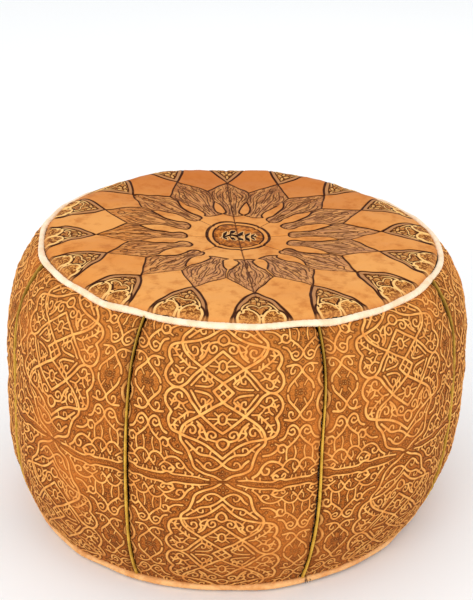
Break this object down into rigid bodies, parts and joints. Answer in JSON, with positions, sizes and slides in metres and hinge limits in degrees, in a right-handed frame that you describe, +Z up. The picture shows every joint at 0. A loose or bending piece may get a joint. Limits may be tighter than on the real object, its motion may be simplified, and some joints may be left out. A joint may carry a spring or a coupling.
{
  "type": "round leather pouf",
  "caption": "Low round stuffed floor seat: tooled leather top panels and embossed leather side panels sewn with welts and piping, zip closure underneath.",
  "frame": {"origin": "on the floor, under the centre of the pouf", "axes": "+Z up, -Y towards the front, zip along X, closing towards +X"},
  "size_m": [0.5, 0.5, 0.312],
  "materials": {
    "top_leather": "natural tan leather, tooled with dark lines, light wax sheen",
    "side_leather": "embossed brown leather with lighter raised lines, antiqued",
    "welt_leather": "olive yellow dyed leather strip, satin",
    "piping_leather": "cream undyed leather, satin",
    "bottom_leather": "plain brown split leather, matt",
    "cotton_cord": "undyed twisted cotton cord",
    "zip_tape": "dark brown woven polyester tape",
    "zip_coil": "dark brown nylon coil",
    "zip_metal": "antique brass plating",
    "bag_cotton": "plain weave undyed cotton",
    "filling_fabric": "loose shredded cotton"
  },
  "bodies": {
    "cover": {"top_panel_1": "top_leather", "top_panel_2": "top_leather", "top_panel_3": "top_leather", "top_panel_4": "top_leather", "top_panel_5": "top_leather", "top_panel_6": "top_leather", "top_panel_7": "top_leather", "top_panel_8": "top_leather", "side_panel_1": "side_leather", "side_panel_2": "side_leather", "side_panel_3": "side_leather", "side_panel_4": "side_leather", "side_panel_5": "side_leather", "side_panel_6": "side_leather", "side_panel_7": "side_leather", "side_panel_8": "side_leather", "seam_welt_1": "welt_leather", "seam_welt_2": "welt_leather", "seam_welt_3": "welt_leather", "seam_welt_4": "welt_leather", "seam_welt_5": "welt_leather", "seam_welt_6": "welt_leather", "seam_welt_7": "welt_leather", "seam_welt_8": "welt_leather", "top_piping": "piping_leather", "bottom_piping": "piping_leather", "top_piping_cord": "cotton_cord", "bottom_piping_cord": "cotton_cord", "bottom_panel_front": "bottom_leather", "bottom_panel_back": "bottom_leather", "zip_tape_front": "zip_tape", "zip_tape_back": "zip_tape", "zip_coil_front": "zip_coil", "zip_coil_back": "zip_coil", "zip_top_stop": "zip_metal", "zip_bottom_stop": "zip_metal", "inner_bag": "bag_cotton", "filling": "filling_fabric"},
    "zip_slider": {"zip_slider": "zip_metal"},
    "zip_pull": {"zip_pull": "zip_metal"}
  },
  "joints": [
    {"name": "zip_slide", "type": "slide", "parent": "cover", "child": "zip_slider", "axis": [-1, 0, 0], "range_m": [0, 0.26]},
    {"name": "pull_hinge", "type": "hinge", "parent": "zip_slider", "child": "zip_pull", "pos_m": [0.13, 0, 0.00155], "axis": [0, -1, 0], "range_deg": [0, 175]}
  ]
}
